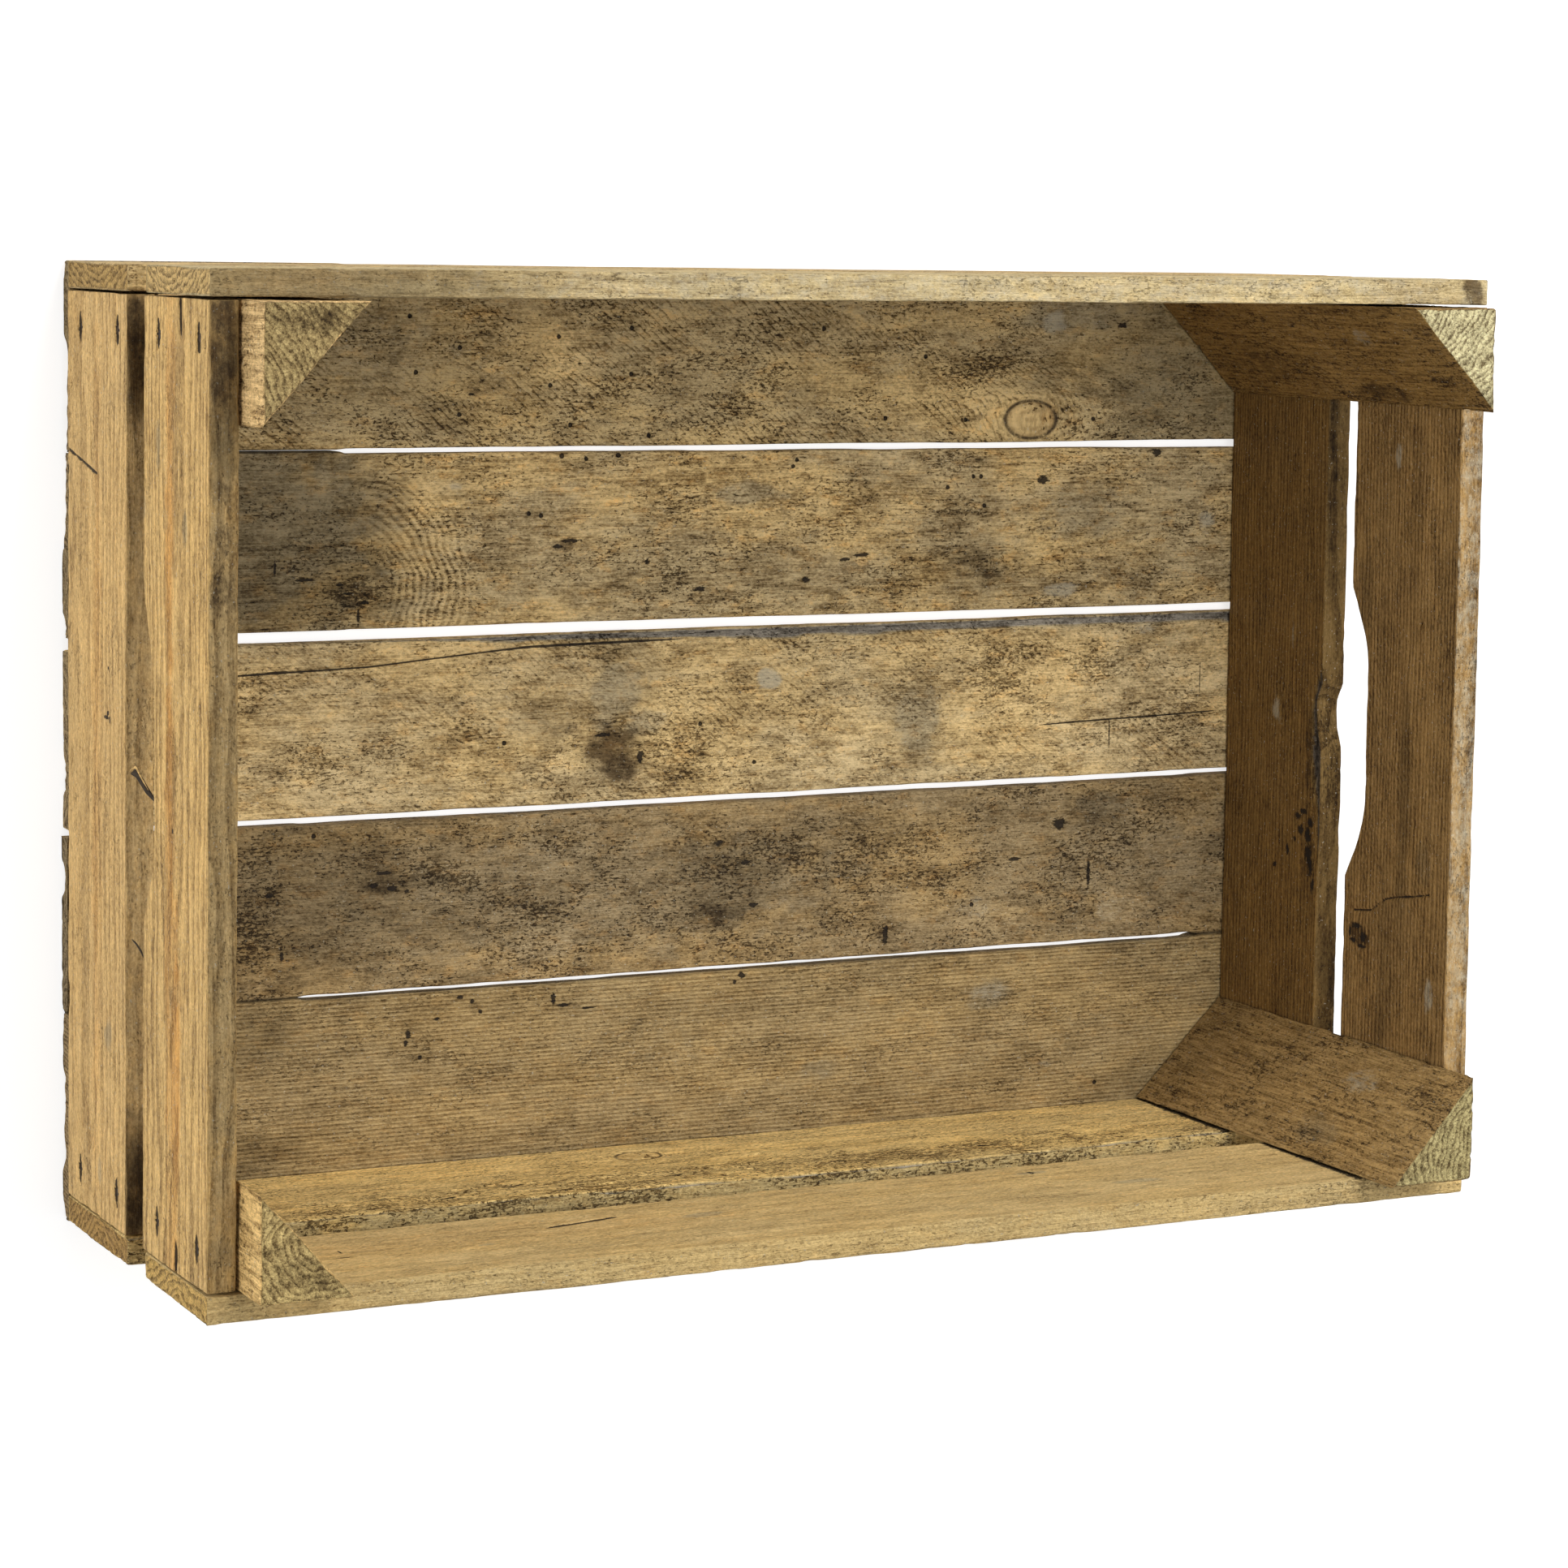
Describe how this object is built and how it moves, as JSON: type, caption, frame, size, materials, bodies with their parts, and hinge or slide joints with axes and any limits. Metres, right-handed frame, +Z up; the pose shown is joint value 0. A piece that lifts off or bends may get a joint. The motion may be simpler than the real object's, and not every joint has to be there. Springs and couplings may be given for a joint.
{
  "type": "slatted wooden fruit crate",
  "caption": "Flat open-topped slatted wooden crate with three-cornered corner posts, a boarded floor and a finger hold in each end.",
  "frame": {"origin": "middle of the footprint, on the surface that the floor boards stand on", "axes": "+X along the crate's length from the left end to the right end, +Y across its width from front to back, +Z up out of the open top"},
  "size_m": [0.6, 0.417, 0.226],
  "materials": {
    "floor_wood": "raw sawn softwood, weathered grey-brown, stained and specked",
    "end_slat_wood": "raw sawn softwood, warm tan outside and brown inside",
    "side_slat_wood": "raw sawn softwood, yellow tan with pale worn edges",
    "post_wood": "raw rough-sawn softwood, brown faces and pale end grain",
    "nail_iron": "dark rusty iron"
  },
  "bodies": {
    "root": {"floor_board_1": "floor_wood", "floor_board_2": "floor_wood", "floor_board_3": "floor_wood", "floor_board_4": "floor_wood", "floor_board_5": "floor_wood", "left_end_lower_slat": "end_slat_wood", "left_end_upper_slat": "end_slat_wood", "right_end_lower_slat": "end_slat_wood", "right_end_upper_slat": "end_slat_wood", "front_side_lower_slat": "side_slat_wood", "front_side_upper_slat": "side_slat_wood", "back_side_lower_slat": "side_slat_wood", "back_side_upper_slat": "side_slat_wood", "corner_post_front_left": "post_wood", "corner_post_front_right": "post_wood", "corner_post_back_left": "post_wood", "corner_post_back_right": "post_wood", "nail_left_end_front_1": "nail_iron", "nail_left_end_front_2": "nail_iron", "nail_left_end_front_3": "nail_iron", "nail_left_end_front_4": "nail_iron", "nail_left_end_back_1": "nail_iron", "nail_left_end_back_2": "nail_iron", "nail_left_end_back_3": "nail_iron", "nail_left_end_back_4": "nail_iron", "nail_right_end_front_1": "nail_iron", "nail_right_end_front_2": "nail_iron", "nail_right_end_front_3": "nail_iron", "nail_right_end_front_4": "nail_iron", "nail_right_end_back_1": "nail_iron", "nail_right_end_back_2": "nail_iron", "nail_right_end_back_3": "nail_iron", "nail_right_end_back_4": "nail_iron", "nail_front_side_left_1": "nail_iron", "nail_front_side_left_2": "nail_iron", "nail_front_side_left_3": "nail_iron", "nail_front_side_left_4": "nail_iron", "nail_front_side_right_1": "nail_iron", "nail_front_side_right_2": "nail_iron", "nail_front_side_right_3": "nail_iron", "nail_front_side_right_4": "nail_iron", "nail_back_side_left_1": "nail_iron", "nail_back_side_left_2": "nail_iron", "nail_back_side_left_3": "nail_iron", "nail_back_side_left_4": "nail_iron", "nail_back_side_right_1": "nail_iron", "nail_back_side_right_2": "nail_iron", "nail_back_side_right_3": "nail_iron", "nail_back_side_right_4": "nail_iron", "nail_floor_left_1": "nail_iron", "nail_floor_left_2": "nail_iron", "nail_floor_left_3": "nail_iron", "nail_floor_left_4": "nail_iron", "nail_floor_left_5": "nail_iron", "nail_floor_right_1": "nail_iron", "nail_floor_right_2": "nail_iron", "nail_floor_right_3": "nail_iron", "nail_floor_right_4": "nail_iron", "nail_floor_right_5": "nail_iron"}
  },
  "joints": []
}
